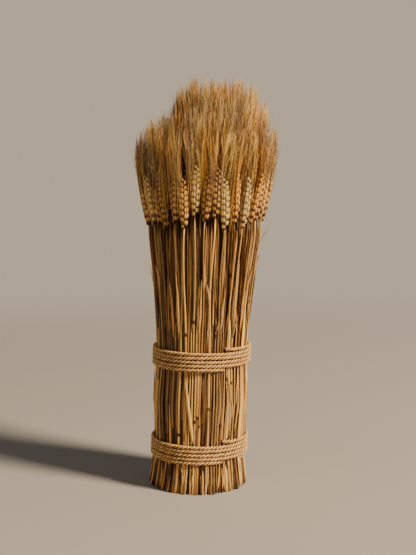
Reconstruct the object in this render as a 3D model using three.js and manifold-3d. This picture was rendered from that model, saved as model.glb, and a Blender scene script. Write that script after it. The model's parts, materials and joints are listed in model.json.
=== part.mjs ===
// A standing sheaf of dried bearded wheat, tied round with rope in two bands.
// Millimetres, +Z up. The origin is on the floor, in the middle of the cut straw ends.
// The sheaf is modelled as narrow bunches. Each is one body: packed straw below, whose outer side
// shows each straw as a ridge, then single stalks, and on each stalk its ear with its awns.
import * as THREE from "three";
import { mergeVertices } from "three/addons/utils/BufferGeometryUtils.js";
import Module from "manifold-3d";

const wasm = await Module();
wasm.setup();

// Driving dimensions
const OUTER_BUNCHES = 36;
const INNER_BUNCHES = 6;
const STRAWS_PER_BUNCH = 3;
const STRAW_RADIUS = 2;
const RIDGE_DEPTH = 1.6; // from a straw's crown down to the groove beside it
const CROWN_VARIES = 0.5; // how far in or out a straw's crown may be
const STALK_SETBACK = 1.4; // how far behind the crowns the single stalks leave the packed straw
const PACKED_TOP = 236; // above this the outer straws stand apart
const CORE_TOP = 400; // the straws in the middle stand apart above this
const CORE_RADIUS = 52; // the outer bunches reach in to here
const CORE_TOP_RADIUS = 33;
const MIDDLE_RADIUS = 9;
const ROOT = 9; // how deep a stalk or leaf is sunk into what it grows from
const GAP = 0.35; // between neighbouring bunches
const FLATNESS = 0.002; // faces that are flat to within this become one
const LEAN = 0.027; // the sheaf leans this much to +X for each millimetre of height
const EAR_FLATNESS = 0.78; // an ear's depth over its width
const NOTCH = 0.66; // how far out an ear reaches between two scales, as a share of its width
const SCALE_RISE = 0.045; // how far a scale's point stands above its middle, as a share of the ear
const EAR_LIFT = 5; // how much higher or lower than its ring an ear may be
const EAR_TILT = 0.6; // how much of the dome's tilt the ears follow
const AWN_RADIUS = 0.7;
const AWN_SHORTFALL = 10; // an awn ends up to this much under the dome
const SIDE_AWNS = { from: 0.68, over: 0.2, reach: 0.3 }; // where they leave the ear, as shares of it
const ROPE_DIAMETER = 5.2;
const ROPE_PITCH = 5.5;
const ROPE_TURNS = 5;
const ROPE_STEPS = 18; // straight stretches in one turn
const ROPE_SIDES = 5;
const ROPE_START = -60; // a rope's winding begins at this angle, below, and runs clockwise
const BANDS = { rope_band_lower: 60, rope_band_upper: 197 }; // each band's middle height

// The straw's outer radius at each height: it spreads at the cut ends and above the upper band, and
// the two bands draw it in.
const OUTLINE = [
  [0, 74.5],
  [42, 69],
  [60, 67.4],
  [78, 68.4],
  [130, 71.6],
  [182, 69.2],
  [197, 68.4],
  [212, 69],
  [PACKED_TOP, 70.4],
  [300, 75.4],
  [345, 79],
  [390, 86],
];
const PACKED_LEVELS = [0, 60, 130, 197, PACKED_TOP];
const RIM_BEND = 330; // the outermost stalks bend outwards here

// The height of the awns' tips over each radius: a dome. It is higher at +X and lower at -X.
const DOME = [
  [0, 605],
  [45, 597],
  [60, 583],
  [77, 560],
  [96, 530],
  [109, 505],
];
const DOME_TILT = 18;
const DOME_RADIUS = 109;

// The rings of ears, from the rim inwards. foot and tip are the [radius, height] of an ear's ends,
// rows its rows of scales, awns those beside its middle one, and spread where their tips end.
const RIM = {
  foot: [83.5, 390],
  tip: [97.5, 466],
  halfWidth: 6.5,
  rows: 7,
  awns: 3,
  spread: { inner: 97, outer: 109, deg: 4.1 },
};
const SECOND = {
  foot: [70.5, 408],
  tip: [77.5, 484],
  halfWidth: 5.8,
  rows: 5,
  awns: 2,
  spread: { inner: 80.5, outer: 94, deg: 3.9 },
};
const THIRD = {
  foot: [56, 425],
  tip: [61, 499],
  halfWidth: 5.8,
  rows: 4,
  awns: 2,
  spread: { inner: 63, outer: 76, deg: 7 },
};
const FOURTH = {
  foot: [38, 438],
  tip: [42, 512],
  halfWidth: 5.8,
  rows: 4,
  awns: 2,
  spread: { inner: 36, outer: 56, deg: 7 },
};
const FIFTH = {
  foot: [19, 446],
  tip: [22, 520],
  halfWidth: 5.8,
  rows: 5,
  awns: 5,
  spread: { inner: 16, outer: 32, deg: 22 },
};
const MIDDLE = {
  foot: [0, 450],
  tip: [0, 526],
  halfWidth: 5.8,
  rows: 5,
  awns: 5,
  spread: { inner: 0, outer: 9, deg: 180 },
};

// A torn leaf stub stands out from every sixth outermost stalk.
const LEAF = { every: 6, root: 296, rise: 36, out: 5, width: 4.4, thickness: 0.8, turn: 1.2 };

// The straw's colours. A bunch has one of them.
const COLOURS = { pale_wheat: 0xc9ab78, gold_wheat: 0xc58f45, amber_wheat: 0xb06c25 };
const LETTERS = { p: "pale_wheat", g: "gold_wheat", a: "amber_wheat" };
const FRONT_ROW = "agpgaggpagpapaggp"; // the front bunches' colours, from left to right
const BACK_ROW = "pgagpag"; // what repeats round the back
const ROPE_COLOUR = 0xb08450;

const radians = THREE.MathUtils.degToRad;
const degrees = THREE.MathUtils.radToDeg;
const UP = new THREE.Vector3(0, 0, 1);
const BUNCH_DEG = 360 / OUTER_BUNCHES;
const STRAW_DEG = BUNCH_DEG / STRAWS_PER_BUNCH;

// A repeatable number from -1 to 1 for each thing and purpose.
function vary(thing, purpose) {
  const wave = Math.sin(thing * 12.9898 + purpose * 78.233) * 43758.5453;
  return 2 * (wave - Math.floor(wave)) - 1;
}

function along(table, at) {
  let i = 0;
  while (i < table.length - 2 && at > table[i + 1][0]) i += 1;
  const [x0, y0] = table[i];
  const [x1, y1] = table[i + 1];
  return THREE.MathUtils.mapLinear(at, x0, x1, y0, y1);
}

const strawRadius = (height) => along(OUTLINE, height);

// How much higher the dome is at this place for its tilt, which is most half way out.
function domeTilt(radius, deg) {
  const halfWayOut = Math.sin((Math.PI * radius) / (1.1 * DOME_RADIUS)) ** 2;
  return DOME_TILT * halfWayOut * Math.cos(radians(deg));
}

const domeHeight = (radius, deg) => along(DOME, radius) + domeTilt(radius, deg);

function polar(radius, deg, height) {
  return new THREE.Vector3(radius * Math.cos(radians(deg)), radius * Math.sin(radians(deg)), height);
}

function toSolid(geometry) {
  const bare = new THREE.BufferGeometry();
  bare.setAttribute("position", geometry.toNonIndexed().getAttribute("position"));
  const merged = mergeVertices(bare, 1e-4);
  const mesh = new wasm.Mesh({
    numProp: 3,
    vertProperties: merged.attributes.position.array,
    triVerts: new Uint32Array(merged.index.array),
  });
  return new wasm.Manifold(mesh);
}

function toGeometry(solid) {
  const mesh = solid.getMesh();
  const geometry = new THREE.BufferGeometry();
  geometry.setAttribute("position", new THREE.BufferAttribute(mesh.vertProperties.slice(), 3));
  geometry.setIndex(new THREE.BufferAttribute(mesh.triVerts.slice(), 1));
  geometry.computeVertexNormals();
  return geometry;
}

// A closed prism whose corner number `column` at level number `row` is where place(column, row)
// says. The corners run anticlockwise seen from above. middle(row) is the middle of a cap.
function prism(columns, rows, place, middle) {
  const geometry = new THREE.CylinderGeometry(1, 1, rows, columns, rows);
  const position = geometry.getAttribute("position");
  for (let i = 0; i < position.count; i += 1) {
    const row = Math.round(position.getY(i) + rows / 2);
    const inMiddle = Math.hypot(position.getX(i), position.getZ(i)) < 0.5;
    const turn = Math.atan2(position.getX(i), position.getZ(i)) / (2 * Math.PI);
    const column = (Math.round(turn * columns) + columns) % columns;
    const point = inMiddle ? middle(row) : place(column, row);
    position.setXYZ(i, point.x, point.y, point.z);
  }
  return toSolid(geometry);
}

// The angle that half the gap between two bunches takes up at a distance from the axis.
const gapDeg = (radius) => degrees(Math.asin(GAP / 2 / radius));

// The packed straw of an outer bunch, with a ridge for each straw on its outer side. Its first two
// corners are the inner ones, and the others are the grooves and, between them, the crowns.
function packedStraw(bunch, deg) {
  const outerCorners = 2 * STRAWS_PER_BUNCH + 1;
  const place = (column, row) => {
    const corner = column - 2;
    const relief = corner % 2 ? CROWN_VARIES * vary(3 * bunch + corner, row) : -RIDGE_DEPTH;
    const radius = corner < 0 ? CORE_RADIUS : strawRadius(PACKED_LEVELS[row]) - CROWN_VARIES + relief;
    const share = corner < 0 ? 1 - 2 * column : (2 * corner) / (outerCorners - 1) - 1;
    return polar(radius, deg + share * (BUNCH_DEG / 2 - gapDeg(radius)), PACKED_LEVELS[row]);
  };
  const halfWay = (CORE_RADIUS + strawRadius(PACKED_TOP)) / 2;
  const middle = (row) => polar(halfWay, deg, PACKED_LEVELS[row]);
  return prism(outerCorners + 2, PACKED_LEVELS.length - 1, place, middle);
}

// A four-sided body through levels of { centre, out, across, rise }. out and across reach to the
// corners. At a level with a rise, two corners stand out and up and two in, and at the next level
// it is the other way round, as the rows of overlapping scales on an ear do.
function loft(levels, apex) {
  const place = (column, row) => {
    const { centre, out, across, rise } = levels[row];
    const turn = (column * Math.PI) / 2;
    const scale = (row + column) % 2 === 0;
    const share = rise && !scale ? NOTCH : 1;
    const point = centre.clone().addScaledVector(out, share * Math.cos(turn));
    point.addScaledVector(across, share * Math.sin(turn));
    return rise && scale ? point.add(rise) : point;
  };
  return prism(4, levels.length - 1, place, (row) => (row ? apex : levels[0].centre));
}

function level(centre, out, across, reach, flatness = 1) {
  return {
    centre,
    out: out.clone().multiplyScalar(reach * flatness),
    across: across.clone().multiplyScalar(reach),
  };
}

// An ear's own axes: its foot, the way and distance it grows, and its unit depth and width.
function earAxes(ring, deg, lift) {
  const foot = polar(ring.foot[0], deg, ring.foot[1] + lift);
  const grows = polar(ring.tip[0], deg, ring.tip[1] + lift).sub(foot);
  const width = new THREE.Vector3(-Math.sin(radians(deg)), Math.cos(radians(deg)), 0);
  const depth = width.clone().cross(grows).normalize();
  return { foot, grows, width, depth };
}

// How wide an ear is at a share of its length, as a share of its greatest width.
const earProfile = (share) => Math.min(1, 0.5 + 2.4 * share, 0.38 + 2.2 * (1 - share));

function earLevels(ring, { foot, grows, width, depth }) {
  const rise = grows.clone().multiplyScalar(SCALE_RISE);
  return Array.from({ length: ring.rows }, (_, k) => {
    const share = (k + 0.9) / (ring.rows + 0.5);
    const centre = foot.clone().addScaledVector(grows, share);
    return { ...level(centre, depth, width, ring.halfWidth * earProfile(share), EAR_FLATNESS), rise };
  });
}

// Where an awn ends, just under the dome.
function awnTip(radius, deg, seed) {
  return polar(radius, deg, domeHeight(radius, deg) - (AWN_SHORTFALL * (1 + vary(seed, 20))) / 2);
}

// A three-sided awn from inside the ear to its tip.
function awn(root, tip) {
  const geometry = new THREE.ConeGeometry(AWN_RADIUS, root.distanceTo(tip), 3, 1);
  const direction = tip.clone().sub(root).normalize();
  geometry.applyQuaternion(new THREE.Quaternion().setFromUnitVectors(THREE.Object3D.DEFAULT_UP, direction));
  const middle = root.clone().lerp(tip, 0.5);
  return toSolid(geometry.translate(middle.x, middle.y, middle.z));
}

// The awns beside an ear's middle one. They leave the ear round its upper part.
function sideAwns(ring, { foot, grows, width, depth }, deg, seed) {
  const { inner, outer, deg: sideways } = ring.spread;
  return Array.from({ length: ring.awns }, (_, k) => {
    const turn = (2 * Math.PI * (k + 0.5 * vary(seed, 11))) / ring.awns;
    const radius = (inner + outer) / 2 + ((outer - inner) / 2) * Math.cos(turn);
    const share = SIDE_AWNS.from + (SIDE_AWNS.over * ((2 * k) % ring.awns)) / ring.awns;
    const reach = SIDE_AWNS.reach * ring.halfWidth * earProfile(share);
    const root = foot.clone().addScaledVector(grows, share);
    root.addScaledVector(width, reach * Math.sin(turn));
    root.addScaledVector(depth, EAR_FLATNESS * reach * Math.cos(turn));
    return awn(root, awnTip(radius, deg + sideways * Math.sin(turn), seed + k));
  });
}

// A whole stalk with its ear and awns. It leaves the packed straw at the radius, angle and height
// in from, and ends in the ear's middle awn.
function wheatStalk(ring, deg, from, seed) {
  const lift = EAR_LIFT * vary(seed, 1) + EAR_TILT * domeTilt(ring.tip[0], deg);
  const axes = earAxes(ring, deg, lift);
  const root = polar(from.radius, from.deg, from.height - ROOT);
  const bend = polar(strawRadius(RIM_BEND) - STRAW_RADIUS, deg, RIM_BEND);
  const stem = [root, ...(ring === RIM ? [bend] : []), axes.foot];
  const out = polar(1, deg, 0);
  const across = UP.clone().cross(out);
  const tip = axes.foot.clone().add(axes.grows);
  const levels = [
    ...stem.map((centre) => level(centre, out, across, STRAW_RADIUS)),
    ...earLevels(ring, axes),
    level(tip, axes.depth, axes.width, AWN_RADIUS),
  ];
  const middleRadius = ring === MIDDLE ? 0 : (ring.spread.inner + ring.spread.outer) / 2;
  return [loft(levels, awnTip(middleRadius, deg, seed)), ...sideAwns(ring, axes, deg, seed)];
}

// A torn leaf: a thin blade that leaves its stalk, widens and ends in a point.
function leafStub(deg, seed) {
  const rise = LEAF.rise * (1 + 0.2 * vary(seed, 31));
  const out = polar(1, deg, 0);
  const across = UP.clone().cross(out);
  const at = (share) => {
    const height = LEAF.root + rise * share;
    const clear = strawRadius(height) - STRAW_RADIUS + LEAF.out * share ** 2;
    return polar(clear, deg + LEAF.turn * share * vary(seed, 32), height);
  };
  const blade = (share, width) => {
    const { centre, out: halfThickness, across: halfWidth } = level(at(share), out, across, width / 2);
    return { centre, out: halfThickness.setLength(LEAF.thickness / 2), across: halfWidth };
  };
  const widths = [0.45, 1, 0.6].map((share) => share * LEAF.width);
  return loft([blade(0, widths[0]), blade(0.35, widths[1]), blade(0.75, widths[2])], at(1));
}

function outerBunch(index) {
  const deg = -90 + index * BUNCH_DEG;
  const radius = strawRadius(PACKED_TOP) - STRAW_RADIUS - STALK_SETBACK;
  const strawAt = (offset) => ({ radius, deg: deg + offset, height: PACKED_TOP });
  const seed = index + 1;
  const inward = index % 2 ? FOURTH : THIRD;
  return [
    packedStraw(index, deg),
    ...wheatStalk(RIM, deg, strawAt(0), seed),
    ...wheatStalk(SECOND, deg + BUNCH_DEG / 2, strawAt(STRAW_DEG), seed + 100),
    ...wheatStalk(inward, deg, strawAt(-STRAW_DEG), seed + 200),
    ...(index % LEAF.every ? [] : [leafStub(deg, seed)]),
  ];
}

// An inner bunch: a sixth of the core inside the outer bunches, with one stalk.
function innerBunch(index) {
  const span = 360 / INNER_BUNCHES;
  const deg = (index + 0.5) * span;
  const heights = [0, PACKED_TOP, CORE_TOP];
  const rims = [CORE_RADIUS - GAP, CORE_RADIUS - GAP, CORE_TOP_RADIUS];
  const hub = MIDDLE_RADIUS + GAP / Math.cos(radians(span / 2));
  const inset = (radius) => span / 2 - gapDeg(radius);
  const place = (column, row) => {
    if (column < 2) return polar(hub, deg + (column ? -1 : 1) * inset(hub), heights[row]);
    return polar(rims[row], deg + ((column - 4) / 2) * inset(rims[row]), heights[row]);
  };
  const core = prism(7, heights.length - 1, place, (row) => polar(rims[row] * 0.6, deg, heights[row]));
  const from = { radius: FIFTH.foot[0], deg, height: CORE_TOP };
  return [core, ...wheatStalk(FIFTH, deg, from, 300 + index)];
}

function middleBunch() {
  const heights = [0, CORE_TOP];
  const place = (column, row) => polar(MIDDLE_RADIUS, (column * 360) / INNER_BUNCHES, heights[row]);
  const core = prism(INNER_BUNCHES, 1, place, (row) => polar(0, 0, heights[row]));
  return [core, ...wheatStalk(MIDDLE, 0, { radius: 0, deg: 0, height: CORE_TOP }, 400)];
}

// The middle line of a rope wound round the sheaf.
class Winding extends THREE.Curve {
  constructor(radius, middle) {
    super();
    this.radius = radius;
    this.middle = middle;
  }
  getPoint(t) {
    const turns = ROPE_TURNS * t;
    const height = this.middle + ROPE_PITCH * (turns - ROPE_TURNS / 2);
    return polar(this.radius, ROPE_START - 360 * turns, height);
  }
}

// A rope's straight stretches clear the widest straw that the band covers.
function ropeBand(middle) {
  const halfBand = (ROPE_TURNS * ROPE_PITCH) / 2;
  const widest = Math.max(strawRadius(middle - halfBand), strawRadius(middle + halfBand));
  const radius = (widest + GAP + ROPE_DIAMETER / 2) / Math.cos(Math.PI / ROPE_STEPS);
  const circle = new THREE.EllipseCurve(0, 0, ROPE_DIAMETER / 2, ROPE_DIAMETER / 2);
  return new THREE.ExtrudeGeometry(new THREE.Shape(circle.getPoints(ROPE_SIDES).slice(1)), {
    steps: ROPE_TURNS * ROPE_STEPS,
    extrudePath: new Winding(radius, middle),
    bevelEnabled: false,
  });
}

// The colour of an outer bunch: the front row runs from the left to the right of the front.
function colourOf(index) {
  const half = (FRONT_ROW.length - 1) / 2;
  const fromFront = ((index + OUTER_BUNCHES / 2) % OUTER_BUNCHES) - OUTER_BUNCHES / 2;
  const inFront = Math.abs(fromFront) <= half;
  return LETTERS[inFront ? FRONT_ROW[fromFront + half] : BACK_ROW[index % BACK_ROW.length]];
}

const material = (name, color) =>
  new THREE.MeshStandardMaterial({ name, color, roughness: 0.75, metalness: 0 });
const straw = Object.fromEntries(
  Object.entries(COLOURS).map(([name, color]) => [name, material(name, color)]),
);
const rope = material("rope", ROPE_COLOUR);
const leaning = new THREE.Matrix4().makeShear(0, 0, 0, 0, LEAN, 0);
const sheaf = new THREE.Group();

function addPiece(name, geometry, finish) {
  const piece = new THREE.Mesh(geometry.applyMatrix4(leaning), finish);
  piece.name = name;
  sheaf.add(piece);
}

function addBunch(name, solids, colour) {
  addPiece(name, toGeometry(wasm.Manifold.union(solids).simplify(FLATNESS)), straw[colour]);
}

for (let index = 0; index < OUTER_BUNCHES; index += 1) {
  const number = String(index + 1).padStart(2, "0");
  addBunch(`outer_bunch_${number}`, outerBunch(index), colourOf(index));
}
for (let index = 0; index < INNER_BUNCHES; index += 1) {
  addBunch(`inner_bunch_${index + 1}`, innerBunch(index), LETTERS[BACK_ROW[index]]);
}
addBunch("middle_bunch", middleBunch(), "gold_wheat");
for (const [name, middle] of Object.entries(BANDS)) addPiece(name, ropeBand(middle), rope);

export default sheaf;
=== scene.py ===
import json
import math
import random

import bmesh
import bpy
from mathutils import Matrix, Vector


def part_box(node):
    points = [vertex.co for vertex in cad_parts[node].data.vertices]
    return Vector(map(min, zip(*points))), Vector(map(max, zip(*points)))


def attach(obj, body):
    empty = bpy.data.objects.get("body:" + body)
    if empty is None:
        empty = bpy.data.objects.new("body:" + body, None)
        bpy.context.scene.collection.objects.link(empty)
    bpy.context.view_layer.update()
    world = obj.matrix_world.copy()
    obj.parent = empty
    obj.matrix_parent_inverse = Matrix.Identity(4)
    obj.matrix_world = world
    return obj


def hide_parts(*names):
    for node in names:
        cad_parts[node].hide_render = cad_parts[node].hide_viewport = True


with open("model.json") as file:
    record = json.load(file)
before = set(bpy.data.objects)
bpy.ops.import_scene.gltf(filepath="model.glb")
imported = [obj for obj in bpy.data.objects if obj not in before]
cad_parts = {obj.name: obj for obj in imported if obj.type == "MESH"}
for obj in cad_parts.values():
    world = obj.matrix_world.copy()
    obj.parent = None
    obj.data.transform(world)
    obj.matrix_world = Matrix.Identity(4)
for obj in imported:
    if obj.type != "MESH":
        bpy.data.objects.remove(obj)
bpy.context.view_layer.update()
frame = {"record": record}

bl_info = {
    "name": "Wheat Sheaf",
    "version": (1, 0, 0),
    "blender": (4, 5, 0),
    "location": "View3D > Sidebar > Wheat Sheaf",
    "description": "Builds a standing sheaf of dried bearded wheat, tied with two bands of twisted rope",
    "category": "Object",
}

# Sizes are in millimetres until a piece is finished. The sheaf stands on the floor at the origin.
MM = 0.001
LEAN = 0.027  # the sheaf leans this much to +X for each millimetre of height
FRONT_DEG = -90  # the angle of the front, towards -Y
OUTER_BUNCHES = 36
INNER_BUNCHES = 6
BUNCH_DEG = 360 / OUTER_BUNCHES
STRAW_DEG = BUNCH_DEG / 3
UPPER_ROPE = 197  # the height of its middle
PACKED_TOP = 236  # above this the outer straws stand apart
FILL_TOP = 392  # the straws that fill the sheaf end about here, among the ears' feet
FILL_MARGIN = 3.2  # the room that the outer stalks take between these straws and the upper rope
CORE_RADIUS = 52  # the inner bunches reach out to here
MIDDLE_RADIUS = 9  # and the middle bunch to here
RIM_BEND = 330  # the outermost stalks bend outwards here
EAR_LIFT = 5  # every ear stands up to this much higher or lower than its ring
EAR_TILT = 0.6  # the share of the dome's tilt that the ears follow
DOME_TILT = 18  # halfway out, the dome is this much higher towards +X, and lower on the other side
DOME_RADIUS = 109

# The straw's outer radius at each height, and the height of the awns' tips over each radius,
# on the side towards +X and on the other side.
OUTLINE = [(0, 74.5), (42, 69), (60, 67.4), (78, 68.4), (130, 71.6), (182, 69.2), (UPPER_ROPE, 68.4),
           (212, 69), (PACKED_TOP, 70.4), (300, 75.4), (345, 79), (390, 86)]
DOME_RIGHT = [(0, 600), (30, 595), (58, 595), (68, 589), (76, 582), (85, 566), (93, 544), (102, 522),
              (DOME_RADIUS, 512)]
DOME_LEFT = [(0, 600), (30, 600), (40, 593), (48, 577), (57, 561), (66, 550), (76, 542), (92, 534),
             (101, 522), (DOME_RADIUS, 514)]

# The rings of ears: the ends of an ear as (radius, height), where its awns' tips spread as (inner
# radius, outer radius, degrees to each side), how many times the usual awns each scale has, and how
# much lighter its scales are, which is painted light on the rim and painted shade on the second and
# third rings behind it.
RINGS = {
    "rim": {"foot": (83.5, 390), "tip": (97.5, 466), "spread": (94, 109, 4.5), "awns": 1, "tone": 0.1},
    "second": {"foot": (70.5, 408), "tip": (77.5, 484), "spread": (78, 96, 5), "awns": 1, "tone": -0.4},
    "third": {"foot": (56, 425), "tip": (61, 499), "spread": (58, 80, 10), "awns": 2, "tone": -0.2},
    "fourth": {"foot": (38, 438), "tip": (42, 512), "spread": (33, 58, 12), "awns": 2, "tone": 0},
    "fifth": {"foot": (19, 446), "tip": (22, 520), "spread": (12, 38, 36), "awns": 3, "tone": 0},
    "middle": {"foot": (0, 450), "tip": (0, 526), "spread": (0, 16, 180), "awns": 3, "tone": 0},
}

# How much higher still the ears at the front stand, for the numbers of their bunches, with 100 added
# for an ear of the second ring. For the other ears it is up to OTHER_LIFT, higher or lower.
FRONT_LIFTS = {31: 2, 33: -4, 34: 3, 35: 0, 36: 12, 1: 2, 101: -10, 2: 9, 3: -6, 4: 4, 5: -9, 6: -3,
               8: 6, 9: 9}
OTHER_LIFT = 6

# The scales of a spikelet: the degrees that each one leans away from the ear's middle line, the
# degrees that it is turned from the spikelet's own side, and how far it is moved to that side. The
# one that is moved lies over the others' feet and has no awns.
SCALES = ((25, 0, 0), (23, 38, 0), (23, -38, 0), (17, 72, 0.12))

# Leaves that show, on their bunches: (degrees to its side, foot height, rise, how far out it ends,
# width, degrees that it slants by, tone).
TORN_LEAVES = {
    "outer_bunch_02": [(-2, 275, 36, 5, 4.2, -5, 0.7)],
    "outer_bunch_03": [(-3, 238, 20, 3, 5.0, 2, 0.2)],
    "outer_bunch_05": [(0, 226, 38, 4, 4.6, 3, 0.2), (4, 105, 64, 1.0, 2.8, -9, 0.9)],
    "outer_bunch_06": [(0, 124, 66, 0.3, 7.5, 1, 1.1)],
    "outer_bunch_07": [(2, 130, 58, 0.2, 6.6, 0, 0.9)],
    "outer_bunch_09": [(0, 352, 34, 9, 3.2, 0, 0.5)],
    "outer_bunch_10": [(0, 318, 30, 4, 4.5, 0, 0.6)],
    "outer_bunch_19": [(0, 300, 40, 8, 3.5, 0, 0.6)],
    "outer_bunch_24": [(0, 262, 44, 6, 4.0, 0, 0.8)],
    "outer_bunch_28": [(0, 296, 36, 4, 2.6, 0, 0.4)],
    "outer_bunch_36": [(2, 71, 102, 1.0, 5.8, -11, 1.3)],
}

# What each face of a bunch is: an index into its materials.
STRAW, EAR, AWN, LEAF, CUT = range(5)
STEP_HEIGHT = 10  # of a plain tube with radius 1
STRANDS = 30  # in which the awns of an ear gather, where its scales have the usual awns
AWN_STEPS = 5
LEAF_STEPS = 7
LEAF_THICKNESS = 0.22
ROPE_STEP = 2  # the length of rope between two cuts across it
STRAND_SHARE = 0.235  # a strand's radius, as a share of the rope's diameter
HALF_BAND = 13  # the straws that a band lies on are measured this far above and below its middle
TUCK_DEPTH = 4.5  # how far inwards a rope's end goes
TUCK_LENGTH = 16  # the length of rope in which it does so
LOOSE_FIBRES = 110  # on each strand of a rope
DRY_SPECULAR = 0.28  # dry straw and rope have little gloss
ROOM_COLOUR = (0.56, 0.445, 0.335, 1)


class StrawSettings(bpy.types.PropertyGroup):
    radius: bpy.props.FloatProperty(
        name="Straw radius", description="Half a straw's thickness low in the sheaf",
        default=0.0022, min=0.0005, unit="LENGTH", subtype="DISTANCE")
    neck_radius: bpy.props.FloatProperty(
        name="Neck radius", description="Half a stalk's thickness under its ear",
        default=0.0012, min=0.0005, unit="LENGTH", subtype="DISTANCE")
    fill_spacing: bpy.props.FloatProperty(
        name="Fill spacing", description="Distance between the straws inside the sheaf",
        default=0.0046, min=0.003, unit="LENGTH", subtype="DISTANCE")
    uneven_ends: bpy.props.FloatProperty(
        name="Uneven ends", description="How far up from the floor a straw may be cut",
        default=0.0035, min=0, unit="LENGTH", subtype="DISTANCE")


class EarSettings(bpy.types.PropertyGroup):
    spikelets: bpy.props.IntProperty(
        name="Spikelets", description="Spikelets on an ear, left and right by turns", default=17, min=6)
    scale_length: bpy.props.FloatProperty(
        name="Scale length", description="Length of a scale on a spikelet",
        default=0.0132, min=0.004, unit="LENGTH", subtype="DISTANCE")
    scale_breadth: bpy.props.FloatProperty(
        name="Scale breadth", description="Breadth of a scale on a spikelet",
        default=0.0052, min=0.002, unit="LENGTH", subtype="DISTANCE")
    scale_thickness: bpy.props.FloatProperty(
        name="Scale thickness", description="Thickness of a scale on a spikelet",
        default=0.0042, min=0.001, unit="LENGTH", subtype="DISTANCE")
    awn_radius: bpy.props.FloatProperty(
        name="Awn radius", description="Half an awn's thickness where it leaves its scale",
        default=0.00034, min=0.0001, unit="LENGTH", subtype="DISTANCE")
    awns_per_scale: bpy.props.IntProperty(
        name="Awns per scale", description="Awns that leave a scale halfway up an outer ear",
        default=2, min=1)


class RopeSettings(bpy.types.PropertyGroup):
    diameter: bpy.props.FloatProperty(
        name="Rope diameter", description="Thickness of the rope over its strands",
        default=0.0052, min=0.002, unit="LENGTH", subtype="DISTANCE")
    pitch: bpy.props.FloatProperty(
        name="Pitch", description="Distance from each turn of rope to the next one",
        default=0.0058, min=0.002, unit="LENGTH", subtype="DISTANCE")
    lay: bpy.props.FloatProperty(
        name="Lay", description="Length of rope in which a strand goes round once",
        default=0.0185, min=0.005, unit="LENGTH", subtype="DISTANCE")
    turns: bpy.props.IntProperty(
        name="Turns", description="Turns of rope in each band", default=5, min=1)
    start: bpy.props.FloatProperty(
        name="Start", description="Angle where the winding begins, at the bottom of a band",
        default=math.radians(-60), subtype="ANGLE", unit="ROTATION")


class ColourSettings(bpy.types.PropertyGroup):
    pale: bpy.props.FloatVectorProperty(
        name="Pale wheat", description="Body colour of the palest wheat",
        default=(0.56, 0.352, 0.128), size=3, subtype="COLOR", min=0, max=1)
    gold: bpy.props.FloatVectorProperty(
        name="Golden wheat", description="Body colour of the golden wheat",
        default=(0.60, 0.292, 0.086), size=3, subtype="COLOR", min=0, max=1)
    amber: bpy.props.FloatVectorProperty(
        name="Amber wheat", description="Body colour of the darkest wheat",
        default=(0.60, 0.255, 0.045), size=3, subtype="COLOR", min=0, max=1)
    rope: bpy.props.FloatVectorProperty(
        name="Rope", description="Body colour of the rope",
        default=(0.60, 0.268, 0.088), size=3, subtype="COLOR", min=0, max=1)
    floor: bpy.props.FloatVectorProperty(
        name="Floor", description="Colour of the floor",
        default=(0.46, 0.42, 0.375), size=3, subtype="COLOR", min=0, max=1)


class StageSettings(bpy.types.PropertyGroup):
    camera_distance: bpy.props.FloatProperty(
        name="Camera distance", description="From the camera to the sheaf's foot, along the floor",
        default=1.4025, unit="LENGTH", subtype="DISTANCE")
    camera_height: bpy.props.FloatProperty(
        name="Camera height", description="Height of the camera above the floor",
        default=0.446, unit="LENGTH", subtype="DISTANCE")
    camera_pitch: bpy.props.FloatProperty(
        name="Camera pitch", description="How far the camera looks down",
        default=math.radians(5.5), subtype="ANGLE", unit="ROTATION")
    camera_lens: bpy.props.FloatProperty(
        name="Camera lens", description="Focal length on a 36 mm high sensor",
        default=60.97, unit="CAMERA")
    key_power: bpy.props.FloatProperty(
        name="Key light", description="Power of the light at the right", default=1180, unit="POWER")
    fill_power: bpy.props.FloatProperty(
        name="Fill light", description="Power of the light at the left", default=4.5, unit="POWER")


# Places in the sheaf


def vary(thing, purpose):
    """A repeatable number from -1 to 1 for each thing and purpose."""
    wave = math.sin(thing * 12.9898 + purpose * 78.233) * 43758.5453
    return 2 * (wave - math.floor(wave)) - 1


def between(points, at):
    """The value at a place, with straight lines between points that are (place, value)."""
    i = 0
    while i < len(points) - 2 and at > points[i + 1][0]:
        i += 1
    (x0, y0), (x1, y1) = points[i:i + 2]
    return y0 + (y1 - y0) * (at - x0) / (x1 - x0)


def straw_radius(height):
    """The radius that the outer straws reach at a height."""
    return between(OUTLINE, height)


def dome_tilt(radius, deg):
    """How much higher the dome is towards +X, or lower on the other side, for the ears below it."""
    half_way_out = math.sin(math.pi * radius / (1.1 * DOME_RADIUS)) ** 2
    return DOME_TILT * half_way_out * math.cos(math.radians(deg))


def dome_height(radius, deg):
    """The height that the awns reach over a place."""
    rightness = (1 + math.cos(math.radians(deg))) / 2
    return rightness * between(DOME_RIGHT, radius) + (1 - rightness) * between(DOME_LEFT, radius)


def polar(radius, deg, height):
    return Vector((radius * math.cos(math.radians(deg)), radius * math.sin(math.radians(deg)), height))


def tangent_at(deg):
    return polar(1, deg + 90, 0)


# Growing meshes


class Form:
    """A plain shape that is made once and grown many times, with its points moved each time."""

    def __init__(self, make, finish):
        self.bm = bmesh.new()
        self.tone = self.bm.verts.layers.float.new("tone")
        self.fibre = self.bm.verts.layers.float_vector.new("fibre")
        make(self.bm)
        for face in self.bm.faces:
            face.smooth = True
            if face.material_index == 0:
                face.material_index = finish
        self.points = [(vert, vert.co.copy()) for vert in self.bm.verts]
        self.mesh = bpy.data.meshes.new("form")


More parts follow.
